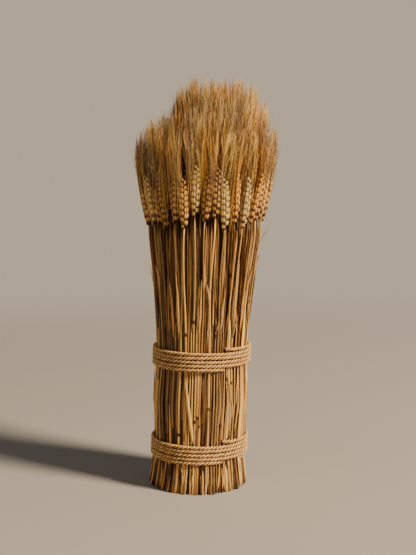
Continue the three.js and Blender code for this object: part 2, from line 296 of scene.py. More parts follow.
def plain_tube(sides, steps, hollow):
    """A closed cylinder of radius 1, cut across into steps that are STEP_HEIGHT high."""

    def make(bm):
        bmesh.ops.create_cone(
            bm, cap_ends=True, segments=sides, radius1=1, radius2=1, depth=steps * STEP_HEIGHT)
        upright = [edge for edge in bm.edges if abs(edge.verts[0].co.z - edge.verts[1].co.z) > 1]
        if steps > 1:
            bmesh.ops.subdivide_edges(bm, edges=upright, cuts=steps - 1)
        if hollow:
            end = min(bm.faces, key=lambda face: face.calc_center_median().z)
            bmesh.ops.inset_individual(bm, faces=[end], thickness=0.35)
            end.material_index = CUT
            for face in {face for edge in end.edges for face in edge.link_faces}:
                face.material_index = CUT
            bmesh.ops.inset_individual(bm, faces=[end], thickness=0.05, depth=-1.6)

    return make


def plain_ball(bm):
    bmesh.ops.create_uvsphere(bm, u_segments=6, v_segments=5, radius=1)


class Growth:
    """A mesh being grown. Every vertex has a tone, which holds its own lightness together with painted
    shade and highlights, and a fibre coordinate that runs along its straw.
    """

    forms = {}

    def __init__(self, seed):
        self.random = random.Random(seed)
        self.whole = bmesh.new()
        self.whole.verts.layers.float.new("tone")
        self.whole.verts.layers.float_vector.new("fibre")

    def form(self, key, make, finish):
        if key not in self.forms:
            self.forms[key] = Form(make, finish)
        return self.forms[key]

    def add(self, form):
        form.bm.to_mesh(form.mesh)
        self.whole.from_mesh(form.mesh)

    def tube(self, route, radii, sides, tones, finish, hollow=False, facing=None, flat=1, edges=0,
             core=None):
        """A closed tube along a route, from a plain one with a step for each of the route's.

        It may be flattened, with painted shade along its two edges. Where it is a strand that goes round
        a core, it has painted shade on the side that lies against it and underneath, and a painted
        highlight along its outer crest and on top.
        """
        steps = len(route) - 1
        key = ("tube", sides, steps, finish, hollow)
        form = self.form(key, plain_tube(sides, steps, hollow), finish)
        frames = level_frames(route, facing)
        lengths = [self.random.uniform(0, 500)]
        for here, there in zip(route, route[1:]):
            lengths.append(lengths[-1] + (there - here).length)
        start = self.random.uniform(0, 500)
        cut = self.random.uniform(-0.9, 0.9) if hollow else 0
        for vert, plain in form.points:
            index = round(plain.z / STEP_HEIGHT + steps / 2)
            across, out, along = frames[index]
            inwards = plain.z - (index - steps / 2) * STEP_HEIGHT
            # painted shade along the tube's two edges, as strong as edges asks for
            vert[form.tone] = tones[index] - edges * plain.x ** 4
            vert[form.fibre] = (plain.x + start, plain.y + start, lengths[index] * 0.1)
            vert.co = route[index] + radii[index] * (
                across * plain.x + out * flat * plain.y + along * inwards)
            if cut and index == 0:
                vert.co.z = max(vert.co.z + cut * radii[0] * plain.x, 0.05)
            # painted shade in the grooves against the core and underneath, painted highlight on the
            # outer crest and on top
            if core:
                away = vert.co - core[index]
                bared = away.length / (route[index] - core[index]).length
                vert[form.tone] += 2.0 * (bared - 1.66) + 0.16 * away.z
        self.add(form)

    def scale(self, base, grows, outwards, length, breadth, thickness, tone):
        """A scale of an ear: a ball drawn out to a point, with a keel outside and flatter inside.

        It has painted shade where others cover it, on its inner side and along its edges, and a painted
        highlight towards its point, where its awn leaves.
        """
        form = self.form("scale", plain_ball, EAR)
        sideways = outwards.cross(grows)
        start = self.random.uniform(0, 500)
        for vert, plain in form.points:
            share = (plain.z + 1) / 2
            full = 0.98 + 0.5 * share - 1.2 * share ** 2
            keel = 1.15 if plain.y > 0 else 0.6
            belly = 0.5 * math.sin(math.pi * share)
            # painted shade at the covered foot, on the inner side and at the edges; 0.55 * share is a
            # painted highlight towards the point
            painted_shade = 2 * (1 - share) ** 2.1 + (0.6 if plain.y < -0.3 else 0) + 0.6 * plain.x ** 2
            vert[form.tone] = tone + 0.05 + 0.55 * share - painted_shade
            vert[form.fibre] = (3 * plain.x + start, 3 * plain.y + start, 0.8 * share + start)
            vert.co = (base + grows * length * share + sideways * breadth / 2 * full * plain.x
                       + outwards * thickness / 2 * (full * keel * plain.y + belly))
        self.add(form)
        return base + grows * length

    def blade(self, middle, out, width, tone, curl=0.5):
        """A dry leaf or sheath along a list of points: a thin strip that is curled across."""
        steps = len(middle) - 1

        def make(bm):
            bmesh.ops.create_grid(bm, x_segments=4, y_segments=steps, size=1)

        form = Form(make, LEAF)
        start = self.random.uniform(0, 500)
        for vert, plain in form.points:
            index = round((plain.y + 1) / 2 * steps)
            along = (middle[min(index + 1, steps)] - middle[max(index - 1, 0)]).normalized()
            sideways = along.cross(out[index]).normalized()
            vert[form.tone] = tone - 0.3 * abs(plain.x) + 0.1 * index / steps
            vert[form.fibre] = (1.6 * plain.x + start, start, index * 0.5)
            vert.co = (middle[index] + sideways * width[index] / 2 * plain.x
                       - out[index] * curl * width[index] / 2 * plain.x ** 2)
        bmesh.ops.solidify(form.bm, geom=form.bm.faces[:], thickness=LEAF_THICKNESS)
        bmesh.ops.recalc_face_normals(form.bm, faces=form.bm.faces[:])
        for face in form.bm.faces:
            face.smooth = True
            face.material_index = LEAF
        self.add(form)
        form.bm.free()

    def finish(self, name, slot, materials, nodes):
        """Leans the mesh, brings it to metres and puts it in the place of the frame's nodes."""
        leaning = Matrix.Identity(4)
        leaning[0][2] = LEAN
        bmesh.ops.transform(self.whole, matrix=Matrix.Scale(MM, 4) @ leaning, verts=self.whole.verts)
        mesh = bpy.data.meshes.new(name)
        self.whole.to_mesh(mesh)
        self.whole.free()
        for material in materials:
            mesh.materials.append(material)
        piece = bpy.data.objects.new(name, mesh)
        bpy.context.scene.collection.objects.link(piece)
        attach(piece, "root")
        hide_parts(*nodes)
        return piece


def level_frames(route, facing=None):
    """At each point of a route: two unit vectors across it, which turn little, and one along it."""
    frames = []
    across = facing
    for index in range(len(route)):
        along = (route[min(index + 1, len(route) - 1)] - route[max(index - 1, 0)]).normalized()
        if across is None:
            across = Vector((0, 1, 0)) if abs(along.y) < 0.9 else Vector((1, 0, 0))
        across = (across - along * across.dot(along)).normalized()
        frames.append((across, along.cross(across), along))
    return frames


# Wheat


def fill_places(spacing):
    """The places of the straws inside the sheaf, in rows that are set off by half a step."""
    places = []
    rows = int(2 * CORE_RADIUS / spacing)
    for row in range(-rows, rows + 1):
        for column in range(-rows, rows + 1):
            x = spacing * (column + 0.5 * (row % 2))
            y = spacing * row * math.sqrt(0.75)
            radius = math.hypot(x, y)
            if radius < straw_radius(UPPER_ROPE) - FILL_MARGIN:
                places.append((radius, math.degrees(math.atan2(y, x))))
    return places


def grow_fill(growth, places, settings):
    """The straws inside the sheaf: plain, cut level below, and ending in points among the ears, with
    painted shade that makes them darker than the outer straws, most of all low down and at their points.
    """
    draw = growth.random
    thick = settings.radius / MM
    for radius, deg in places:
        foot = settings.uneven_ends / MM * draw.random() ** 2
        turn = draw.uniform(-2.5, 2.5)
        top = FILL_TOP + 0.55 * (CORE_RADIUS - radius) + draw.uniform(0, 22)
        spread = (1.15 if radius > 60 else 1.07) + 0.15 * draw.random()
        levels = [(foot, 1.05, draw.uniform(-0.5, 0.5)), (110, 1, 0.2), (PACKED_TOP, 1, 0.5),
                  (top - 24, spread - 0.02, 0.9), (top, spread, 1)]
        route = [polar(radius * wider + draw.uniform(-0.8, 0.4), deg + turn * share, height)
                 for height, wider, share in levels]
        thickness = thick * draw.uniform(0.7, 1.1)
        radii = [thickness * share for share in (1, 1, 0.9, 0.68, 0.12)]
        # darker than the outer straws, and darker low down and at the points: painted shade inside the
        # sheaf
        tone = draw.uniform(-0.35, 0.6)
        tones = [tone + painted_shade_offset for painted_shade_offset in (-0.3, -0.45, 0, 0.1, -0.4)]
        growth.tube(route, radii, 6, tones, STRAW, hollow=True)


def stalk_heights(foot, top, nodes):
    """Heights to cut a stalk at: closer together at its nodes."""
    levels = [foot, 18, 42, 60, 78, 104, 130, 156, 182, UPPER_ROPE, 212, *range(PACKED_TOP, 380, 20)]
    heights = [level for level in levels if foot <= level < top - 8] + [top]
    heights = [level for level in heights
               if level in (foot, top) or all(abs(level - node) > 7 for node in nodes)]
    heights += [node + offset for node in nodes for offset in (-3.4, -1.1, 1.1, 3.4)]
    return sorted(heights)


def stalk_nodes(draw):
    """Heights of a stalk's nodes: perhaps one below the upper rope, and perhaps one above it."""
    nodes = []
    if draw.random() < 0.6:
        nodes.append(round(draw.uniform(22, 170)))
    if draw.random() < 0.4:
        nodes.append(round(draw.uniform(222, 320)))
    return nodes


def grow_stalk(growth, ring, deg, at, top_radius, top, seed, settings):
    """One of the sheaf's outside stalks, up to its ear's foot.

    Most have a node or two, and about a third are thicker where a tight sheath wraps them.
    """
    draw = growth.random
    thick = settings.radius / MM * (0.88 + 0.28 * vary(seed, 41))
    neck = settings.neck_radius / MM * draw.uniform(0.85, 1.15)
    flat = draw.uniform(0.62, 0.95)
    nodes = stalk_nodes(draw)
    wrapped = draw.random() < 0.35
    sheath_low, sheath_high = nodes[0] if nodes else 30, draw.uniform(150, 300)
    slant, splay = draw.uniform(-1.3, 1.3), draw.uniform(-2.2, 1.4)
    sunk = draw.uniform(2.6, 4.4) if draw.random() < 0.25 else draw.uniform(0, 1.2)
    wave, phase, ripple = draw.uniform(0.3, 1.0), draw.uniform(0, 6.28), draw.uniform(0, 6.28)
    foot = settings.uneven_ends / MM * draw.random() ** 2
    tone = 0.5 + 0.76 * vary(seed, 42)
    node_tone = draw.uniform(0.9, 1.7)
    route, radii, tones = [], [], []
    for height in stalk_heights(foot, top, nodes):
        free = max(0, (height - PACKED_TOP) / (top - PACKED_TOP))
        low = max(0, 1 - height / 45)
        inset = thick * flat + sunk * (1 - free) * (1 - 0.8 * low)
        inset += 0.35 * math.sin(height / 33 + ripple)
        if free == 0:
            radius = straw_radius(height) - inset + splay * low
        elif ring == "rim":
            bend = straw_radius(min(height, RIM_BEND + 60 * free)) - inset
            radius = bend * (1 - free ** 3) + top_radius * free ** 3
        else:
            packed = straw_radius(PACKED_TOP) - inset
            radius = packed + free * (top_radius - packed)
        sway = wave * math.sin(height / 62 + phase) * (0.6 + 3 * math.sin(math.pi * free) ** 0.7)
        sway += draw.uniform(-0.9, 0.9) * low
        turn = at + (deg - at) * min(1, 1.3 * free)
        if free == 0:
            turn += slant * (1 - height / PACKED_TOP)
        route.append(polar(radius, turn + math.degrees(sway / max(radius, 20)), height))
        at_node = any(abs(height - node) < 2 for node in nodes)
        in_sheath = wrapped and sheath_low < height < sheath_high
        slim = thick * (1 - 0.26 * min(1, height / PACKED_TOP))
        swollen = 1.15 if at_node else 1.3 if in_sheath else 1
        radii.append((slim + (neck - slim) * free ** 0.8) * swollen)
        tones.append(tone - node_tone if at_node else tone + (0.25 if in_sheath else 0))
    radii[0] *= draw.uniform(0.8, 1.2)
    # edges=0.7 paints shade along the straw's two edges
    growth.tube(
        route, radii, 8, tones, STRAW, hollow=True, facing=tangent_at(at), flat=flat, edges=0.7)
    return route, radii


def ear_profile(share):
    """How wide an ear is at a share of its length, as a share of its greatest width."""
    return min(1, 0.62 + 2.0 * share, 0.42 + 1.25 * (1 - share))


def grow_ear(growth, ring, deg, seed, settings):
    """An ear: spikelets to the left and right by turns, each with its scales, and their awns."""
    draw = growth.random
    place = RINGS[ring]
    lift = EAR_LIFT * vary(seed, 1) + EAR_TILT * dome_tilt(place["tip"][0], deg)
    lift += FRONT_LIFTS.get(seed, OTHER_LIFT * vary(seed, 61))
    foot = polar(place["foot"][0], deg, place["foot"][1] + lift)
    tip = polar(place["tip"][0], deg, place["tip"][1] + lift) + tangent_at(deg) * 8 * vary(seed, 4)
    grows = (tip - foot).normalized()
    length = (tip - foot).length
    width = Matrix.Rotation(math.radians(34 * vary(seed, 2)), 3, grows) @ tangent_at(deg)
    width = (width - grows * width.dot(grows)).normalized()
    depth = width.cross(grows).normalized()
    # place["tone"]: painted light on the rim ears, painted shade on the rings behind them
    tone = 0.45 + 0.3 * vary(seed, 3) + place["tone"]
    strands = make_strands(draw, place, deg, width, depth)
    for index in range(settings.spikelets):
        share = 0.02 + 0.86 * index / (settings.spikelets - 1)
        side = width if index % 2 else -width
        size = ear_profile(share) * draw.uniform(0.96, 1.04)
        seat = foot + grows * length * share
        awns = place["awns"] * (settings.awns_per_scale + (share > 0.62) - (share < 0.3))
        for lean_deg, turn_deg, moved in SCALES:
            turn = math.radians(turn_deg + draw.uniform(-3, 3))
            lean = math.radians(lean_deg + draw.uniform(-2, 3))
            outwards = side * math.cos(turn) + depth * math.sin(turn)
            shift = side * moved
            axis = (grows * math.cos(lean) + outwards * math.sin(lean) + shift * 0.45).normalized()
            face = (outwards - axis * outwards.dot(axis)).normalized()
            end = growth.scale(
                seat + outwards * 0.6 * size + shift * size, axis, face,
                settings.scale_length / MM * size, settings.scale_breadth / MM * size,
                settings.scale_thickness / MM * size, tone + draw.uniform(-0.13, 0.13))
            aside = side * (0.5 - 0.3 * share) + depth * 0.1 * math.sin(turn)
            leaves = (grows + aside).normalized()
            for _ in range(0 if moved else awns):
                angle = math.atan2(outwards.dot(depth), outwards.dot(width)) + draw.gauss(0, 0.5)
                strand = strands[int(angle / math.tau * len(strands)) % len(strands)]
                grow_awn(growth, end, axis, leaves, outwards, share, strand, settings)
    return foot


def make_strands(draw, place, deg, width, depth):
    """The strands in which an ear's awns gather, in order round it: their ends, bends and tones."""
    inner, outer, sideways = place["spread"]
    middle = (inner + outer) / 2
    strands = []
    count = STRANDS * place["awns"]
    tint = draw.gauss(0, 0.14)
    crest = draw.uniform(-4, 4)
    for index in range(count):
        angle = math.tau * (index + draw.uniform(0, 1)) / count
        share = draw.uniform(0.15, 1.05)
        away = (width * math.cos(angle) + depth * math.sin(angle)) * share
        out, aside = away.dot(polar(1, deg, 0)), away.dot(tangent_at(deg))
        radius = min(abs(middle + (outer - middle) * out), DOME_RADIUS + 2)
        tip_deg = deg + sideways * aside
        fall = 30 * draw.random() ** 1.5 + 17 * share ** 2 - 14 + crest
        tip = polar(radius, tip_deg, dome_height(radius, tip_deg) - fall)
        bend = Vector((draw.gauss(0, 0.6), draw.gauss(0, 0.6), 0))
        strands.append((tip, bend, tint + draw.uniform(-0.75, 1.35)))
    return strands


def grow_awn(growth, root, axis, leaves, outwards, share, strand, settings):
    """An awn: a bristle from its scale's point past the ear's side, up to the dome in its strand."""
    draw = growth.random
    gathered, strand_bend, tone = strand
    loose = Vector((draw.gauss(0, 0.4), draw.gauss(0, 0.4), 0))
    fall = 9 * draw.random() ** 1.5 + 30 * (1 - share) * draw.random()
    tip = gathered + 1.3 * loose - Vector((0, 0, fall))
    if draw.random() < 0.1:
        tip += Vector((draw.gauss(0, 4), draw.gauss(0, 4), 0)) + outwards * draw.uniform(0, 8)
    if draw.random() < 0.012:
        tip.z += draw.uniform(6, 15)
    reach = (tip - root).length
    bend = root + leaves * 0.25 * reach + Vector((0, 0, 0.16 * reach)) + strand_bend + loose
    route = []
    for index in range(AWN_STEPS + 1):
        t = index / AWN_STEPS
        route.append(root * (1 - t) ** 2 + bend * 2 * t * (1 - t) + tip * t ** 2)
    route[0] = root - axis * 1.5
    thick = settings.awn_radius / MM * draw.uniform(0.75, 1.25)
    radii = [thick * (1 - 0.62 * (index / AWN_STEPS) ** 1.5) for index in range(AWN_STEPS + 1)]
    tone += draw.uniform(-0.15, 0.15)
    # darker towards the root: painted shade among the ears
    tones = [tone - 0.42 * (1 - index / AWN_STEPS) ** 2 for index in range(AWN_STEPS + 1)]
    growth.tube(route, radii, 3, tones, AWN)


def grow_sheath(growth, route, radii, first, settings):
    """A dry sheath that wraps a stalk and comes away from it at its torn top."""
    draw = growth.random
    count = min(5 + round(3 * draw.random()), len(route) - first - 1)
    steps = range(first, first + count)
    away = draw.uniform(0.2, 2.2)
    out, middle, width = [], [], []
    for index, step in enumerate(steps):
        share = index / (count - 1)
        outward = Vector((route[step].x, route[step].y, 0)).normalized()
        outward = Matrix.Rotation(draw.uniform(-0.05, 0.05) + 0.25 * share, 3, "Z") @ outward
        out.append(outward)
        middle.append(route[step] + outward * (radii[step] + 0.25 + away * share ** 3))
        width.append(settings.radius / MM * 2.3 * (1 - 0.85 * share ** 3))
    growth.blade(middle, out, width, draw.uniform(0.4, 1.0), curl=0.75)


def grow_leaf(growth, deg, height, rise, away, width, slant, tone):
    """A torn leaf from its stalk outwards to its point, against the outside of the sheaf."""
    draw = growth.random
    middle, out, widths = [], [], []
    bend = draw.uniform(1.6, 3)
    for index in range(LEAF_STEPS + 1):
        share = index / LEAF_STEPS
        level = height + rise * share
        radius = straw_radius(level) - 1.4 + 1.6 * min(1, 4 * share) + away * share ** bend
        turn = deg + slant * share + 1.2 * math.sin(3 * share) * draw.uniform(0.4, 1)
        middle.append(polar(radius, turn, level))
        out.append(polar(1, turn + 22 * share, 0))
        widths.append(width * min(1, 0.45 + 2 * share) * (1 - share ** 2.5) + 0.3)
    growth.blade(middle, out, widths, tone, curl=0.6)


def grow_loose_leaves(growth, deg):
    """Leaves that came loose beside this bunch: below, between and above the ropes."""
    draw = growth.random
    for height, room, share in ((4, 44, 0.5), (82, 100, 0.35), (224, 110, 0.45)):
        if draw.random() < share:
            rise = room * draw.uniform(0.5, 0.95)
            start = height + (room - rise) * draw.random()
            grow_leaf(growth, deg + draw.uniform(-5, 5), start, rise, draw.uniform(0, 2.5),
                      draw.uniform(2.2, 4.4), draw.uniform(-4, 4), draw.uniform(0.1, 1.0))


class SHEAF_OT_outer_bunches(bpy.types.Operator):
    """Grow the bunches round the outside, each with three stalks and their ears"""

    bl_idname = "sheaf.outer_bunches"
    bl_label = "Outer bunches"

    def execute(self, context):
        straw, ears = context.scene.sheaf_straw, context.scene.sheaf_ears
        places = fill_places(straw.fill_spacing / MM)
        slots = node_slots()
        for index in range(OUTER_BUNCHES):
            deg = FRONT_DEG + index * BUNCH_DEG
            node = f"outer_bunch_{index + 1:02d}"
            growth = Growth(index)
            self.grow_stalks(growth, index, deg, straw, ears)
            self.grow_leaves(growth, index, deg, node)
            near = [(radius, at) for radius, at in places
                    if radius >= CORE_RADIUS and abs((at - deg + 180) % 360 - 180) <= BUNCH_DEG / 2]
            grow_fill(growth, near, straw)
            slot = slots[node]
            growth.finish(f"bunch_outer_{index + 1:02d}", slot, bunch_materials(slot), [node])
        return {"FINISHED"}

    def grow_stalks(self, growth, index, deg, straw, ears):
        """A stalk to the rim, one to the second ring, and one to the third or fourth by turns."""
        seed = index + 1
        inward = "fourth" if index % 2 else "third"
        stalks = [("rim", deg, deg, seed),
                  ("second", deg + BUNCH_DEG / 2, deg + STRAW_DEG, seed + 100),
                  (inward, deg, deg - STRAW_DEG, seed + 200)]
        for ring, ear_deg, at, number in stalks:
            foot = grow_ear(growth, ring, ear_deg, number, ears)
            route, radii = grow_stalk(
                growth, ring, ear_deg, at, RINGS[ring]["foot"][0], foot.z + 3, number, straw)
            if ring != inward and vary(number, 51) > 0.1:
                grow_sheath(growth, route, radii, 1 + round(4 * abs(vary(number, 52))), straw)

    def grow_leaves(self, growth, index, deg, node):
        """This bunch's leaves: one on each sixth bunch, the torn ones that show, and loose ones."""
        if index % 6 == 0:
            grow_leaf(growth, deg, 296, 36 * (1 + 0.2 * vary(index + 1, 31)), 5, 5.4, 0, 0.6)
        for aside, *leaf in TORN_LEAVES.get(node, []):
            grow_leaf(growth, deg + aside, *leaf)
        grow_loose_leaves(growth, deg)


class SHEAF_OT_inner_bunches(bpy.types.Operator):
    """Grow the bunches inside, which fill the sheaf and hold its innermost ears"""

    bl_idname = "sheaf.inner_bunches"
    bl_label = "Inner bunches"

    def execute(self, context):
        straw, ears = context.scene.sheaf_straw, context.scene.sheaf_ears
        places = [(radius, at) for radius, at in fill_places(straw.fill_spacing / MM)
                  if radius < CORE_RADIUS]
        slots = node_slots()
        span = 360 / INNER_BUNCHES
        for index in range(INNER_BUNCHES):
            node = f"inner_bunch_{index + 1}"
            deg = (index + 0.5) * span
            near = [(radius, at) for radius, at in places
                    if radius >= MIDDLE_RADIUS and at % 360 // span == index]
            self.grow(node, "fifth", deg, 300 + index, near, slots[node], straw, ears)
        near = [(radius, at) for radius, at in places if radius < MIDDLE_RADIUS]
        self.grow("middle_bunch", "middle", 0, 400, near, slots["middle_bunch"], straw, ears)
        return {"FINISHED"}

    def grow(self, node, ring, deg, seed, places, slot, straw, ears):
        """One bunch: an ear, its stalk where it leaves the straws round it, and those straws."""
        growth = Growth(seed)
        foot = grow_ear(growth, ring, deg, seed, ears)
        grow_fill(growth, places, straw)
        neck = straw.neck_radius / MM
        route = [Vector((foot.x, foot.y, height)) for height in (FILL_TOP - 60, FILL_TOP, foot.z + 3)]
        growth.tube(route, [1.2 * neck, neck, neck], 8, [0.5] * 3, STRAW)
        growth.finish("bunch_" + node.replace("_bunch", ""), slot, bunch_materials(slot), [node])


class SHEAF_OT_rope_bands(bpy.types.Operator):
    """Wind the two bands of three-strand rope round the sheaf"""

    bl_idname = "sheaf.rope_bands"
    bl_label = "Rope bands"

    def execute(self, context):
        settings = context.scene.sheaf_rope
        material = rope_material(context.scene.sheaf_colours)
        for number, node in enumerate(("rope_band_lower", "rope_band_upper")):
            low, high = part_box(node)
            growth = Growth(500 + number)
            self.twist(growth, settings, self.wind(settings, (low.z + high.z) / 2 / MM))
            growth.finish(node.replace("band", "twisted"), "rope", [material], [node])
        return {"FINISHED"}

    def wind(self, settings, middle):
        """The rope's middle line, round the straws and with both of its ends tucked in."""
        pitch = settings.pitch / MM
        widest = max(straw_radius(middle - HALF_BAND), straw_radius(middle + HALF_BAND))
        radius = widest + settings.diameter / MM / 2
        turn_length = math.tau * radius
        steps = round(settings.turns * turn_length / ROPE_STEP)
        line = []
        for index in range(steps + 1):
            turns = settings.turns * index / steps
            from_end = min(turns, settings.turns - turns) * turn_length
            inwards = TUCK_DEPTH * max(0, 1 - from_end / TUCK_LENGTH) ** 2
            wobble = 0.25 * math.sin(9 * turns) + 0.2 * math.sin(23 * turns + 1)
            height = middle + pitch * (turns - settings.turns / 2) + wobble
            line.append(polar(radius - inwards, math.degrees(settings.start) - 360 * turns, height))
        return line

    def twist(self, growth, settings, line):
        """Three strands that go round the rope's middle line."""
        frames = level_frames(line)
        lay = settings.lay / MM
        thick = settings.diameter / MM
        strand = STRAND_SHARE * thick
        away = thick / 2 - strand
        for number in range(3):
            route = []
            for index, point in enumerate(line):
                turn = -math.tau * (index * ROPE_STEP / lay + number / 3)
                across, out, _ = frames[index]
                route.append(point + (across * math.cos(turn) + out * math.sin(turn)) * away)
            tone = 0.55 + 0.15 * (number - 1)
            # core=line paints shade in the grooves between the strands and under the rope, and a
            # highlight on the crests
            growth.tube(route, [strand] * len(route), 8, [tone] * len(route), 0, core=line)
            self.add_fibres(growth, route, frames, strand)

    def add_fibres(self, growth, route, frames, strand):
        """Loose fibre ends that stand off a strand."""
        draw = growth.random
        for _ in range(LOOSE_FIBRES):
            index = draw.randrange(4, len(route) - 4)
            across, out, _ = frames[index]
            turn = draw.uniform(0, math.tau)
            away = across * math.cos(turn) + out * math.sin(turn)
            along = (route[index + 2] - route[index]).normalized() * draw.choice((-1, 1))
            reach = draw.uniform(2, 5)
            root = route[index] + away * strand * 0.8
            halfway = root + (along + 0.25 * away) * reach * 0.5
            fibre = [root, halfway, root + (along + 0.6 * away) * reach]
            growth.tube(fibre, [0.11, 0.09, 0.05], 3, [0.8, 0.9, 1.0], 0)


# Materials


def node_slots():
    """The material slot of each of the frame's nodes."""
    return {part["node"]: part["material_slot"] for part in frame["record"]["subparts"]}


def new_group(name, inputs, outputs):
    """A shader node group with its named sockets, and its input and output nodes."""
    group = bpy.data.node_groups.new(name, "ShaderNodeTree")
    for label, kind, default in inputs:
        socket = group.interface.new_socket(label, in_out="INPUT", socket_type=kind)
        if default is not None:
            socket.default_value = default
    for label, kind in outputs:
        group.interface.new_socket(label, in_out="OUTPUT", socket_type=kind)
    return group, group.nodes.new("NodeGroupInput"), group.nodes.new("NodeGroupOutput")


def add_node(tree, kind, values=(), **settings):
    """A shader node with its settings, and values for its sockets by name or number."""
    node = tree.nodes.new(kind)
    for name, value in settings.items():
        setattr(node, name, value)
    for socket, value in dict(values).items():
        node.inputs[socket].default_value = value
    return node


def fibre_streaks():
    """Streaks that run along a straw: how light each one is, and its height."""
    if "fibre_streaks" in bpy.data.node_groups:
        return bpy.data.node_groups["fibre_streaks"]
    group, entry, leave = new_group(
        "fibre_streaks", [("Across", "NodeSocketFloat", 1.6), ("Along", "NodeSocketFloat", 0.35)],
        [("Streak", "NodeSocketFloat"), ("Height", "NodeSocketFloat")])
    link = group.links.new
    fibre = add_node(group, "ShaderNodeAttribute", attribute_name="fibre")
    stretch = add_node(group, "ShaderNodeCombineXYZ")
    scaled = add_node(group, "ShaderNodeVectorMath", operation="MULTIPLY")
    coarse = add_node(group, "ShaderNodeTexNoise", {"Scale": 1.0, "Detail": 3.0, "Roughness": 0.6})
    fine = add_node(group, "ShaderNodeTexNoise", {"Scale": 3.1, "Detail": 4.0, "Roughness": 0.7})
    both = add_node(group, "ShaderNodeMix", {"Factor": 0.45}, data_type="FLOAT")
    contrast = add_node(group, "ShaderNodeMapRange", {"From Min": 0.34, "From Max": 0.66})
    link(entry.outputs["Across"], stretch.inputs["X"])
    link(entry.outputs["Across"], stretch.inputs["Y"])
    link(entry.outputs["Along"], stretch.inputs["Z"])
    link(fibre.outputs["Vector"], scaled.inputs[0])
    link(stretch.outputs["Vector"], scaled.inputs[1])
    link(scaled.outputs["Vector"], coarse.inputs["Vector"])
    link(scaled.outputs["Vector"], fine.inputs["Vector"])
    link(coarse.outputs["Fac"], both.inputs["A"])
    link(fine.outputs["Fac"], both.inputs["B"])
    link(both.outputs["Result"], contrast.inputs["Value"])
    link(contrast.outputs["Result"], leave.inputs["Streak"])
    link(both.outputs["Result"], leave.inputs["Height"])
    return group


def weathering():
    """Patches where the wheat has gone grey, and small brown specks."""
    if "weathering" in bpy.data.node_groups:
        return bpy.data.node_groups["weathering"]
    group, entry, leave = new_group(
        "weathering",
        [("Patch Scale", "NodeSocketFloat", 22.0), ("Speck Scale", "NodeSocketFloat", 260.0)],
        [("Patch", "NodeSocketFloat"), ("Speck", "NodeSocketFloat")])
    link = group.links.new
    place = add_node(group, "ShaderNodeTexCoord")
    upright = add_node(group, "ShaderNodeMapping", {"Scale": (1.0, 1.0, 0.22)})
    patch = add_node(group, "ShaderNodeTexNoise", {"Detail": 2.0})
    speck = add_node(group, "ShaderNodeTexNoise", {"Detail": 2.0, "Roughness": 0.55})
    patch_range = add_node(group, "ShaderNodeMapRange", {"From Min": 0.42, "From Max": 0.62})
    speck_range = add_node(group, "ShaderNodeMapRange", {"From Min": 0.64, "From Max": 0.74})
    link(place.outputs["Object"], upright.inputs["Vector"])
    link(upright.outputs["Vector"], patch.inputs["Vector"])
    link(upright.outputs["Vector"], speck.inputs["Vector"])
    link(entry.outputs["Patch Scale"], patch.inputs["Scale"])
    link(entry.outputs["Speck Scale"], speck.inputs["Scale"])
    link(patch.outputs["Fac"], patch_range.inputs["Value"])
    link(speck.outputs["Fac"], speck_range.inputs["Value"])
    link(patch_range.outputs["Result"], leave.inputs["Patch"])
    link(speck_range.outputs["Result"], leave.inputs["Speck"])
    return group


def dry_colour():
    """A dry plant's colour from shade, body and light by its tone and streaks, greyed and specked."""
    if "dry_colour" in bpy.data.node_groups:
        return bpy.data.node_groups["dry_colour"]
    colours = [(label, "NodeSocketColor", None) for label in ("Shade", "Body", "Light", "Grey")]
    masks = [(label, "NodeSocketFloat", 0.0) for label in ("Streak", "Patch", "Speck")]
    amounts = [("Streakiness", "NodeSocketFloat", 0.5), ("Greying", "NodeSocketFloat", 0.3),
               ("Specks", "NodeSocketFloat", 0.5)]
    group, entry, leave = new_group(
        "dry_colour", colours + masks + amounts, [("Color", "NodeSocketColor")])
    link = group.links.new
    tone = add_node(group, "ShaderNodeAttribute", attribute_name="tone")
    centred = add_node(group, "ShaderNodeMath", {1: 0.5}, operation="SUBTRACT")
    weighed = add_node(group, "ShaderNodeMath", operation="MULTIPLY")
    summed = add_node(group, "ShaderNodeMath", operation="ADD")
    low = add_node(group, "ShaderNodeMapRange", {"From Min": -0.1, "From Max": 0.5})
    high = add_node(group, "ShaderNodeMapRange", {"From Min": 0.5, "From Max": 1.15})
    body = add_node(group, "ShaderNodeMix", data_type="RGBA")
    light = add_node(group, "ShaderNodeMix", data_type="RGBA")
    grey_share = add_node(group, "ShaderNodeMath", operation="MULTIPLY")
    grey = add_node(group, "ShaderNodeMix", data_type="RGBA")
    speck_share = add_node(group, "ShaderNodeMath", operation="MULTIPLY")
    speck = add_node(group, "ShaderNodeMix", data_type="RGBA")
    link(entry.outputs["Streak"], centred.inputs[0])
    link(centred.outputs["Value"], weighed.inputs[0])
    link(entry.outputs["Streakiness"], weighed.inputs[1])
    link(tone.outputs["Fac"], summed.inputs[0])
    link(weighed.outputs["Value"], summed.inputs[1])
    for ramp in (low, high):
        link(summed.outputs["Value"], ramp.inputs["Value"])
    link(low.outputs["Result"], body.inputs["Factor"])
    link(entry.outputs["Shade"], body.inputs["A"])
    link(entry.outputs["Body"], body.inputs["B"])
    link(high.outputs["Result"], light.inputs["Factor"])
    link(body.outputs["Result"], light.inputs["A"])
    link(entry.outputs["Light"], light.inputs["B"])
    link(entry.outputs["Patch"], grey_share.inputs[0])
    link(entry.outputs["Greying"], grey_share.inputs[1])
    link(grey_share.outputs["Value"], grey.inputs["Factor"])
    link(light.outputs["Result"], grey.inputs["A"])
    link(entry.outputs["Grey"], grey.inputs["B"])
    link(entry.outputs["Speck"], speck_share.inputs[0])
    link(entry.outputs["Specks"], speck_share.inputs[1])
    link(speck_share.outputs["Value"], speck.inputs["Factor"])
    link(grey.outputs["Result"], speck.inputs["A"])
    link(entry.outputs["Shade"], speck.inputs["B"])
    link(speck.outputs["Result"], leave.inputs["Color"])
    return group


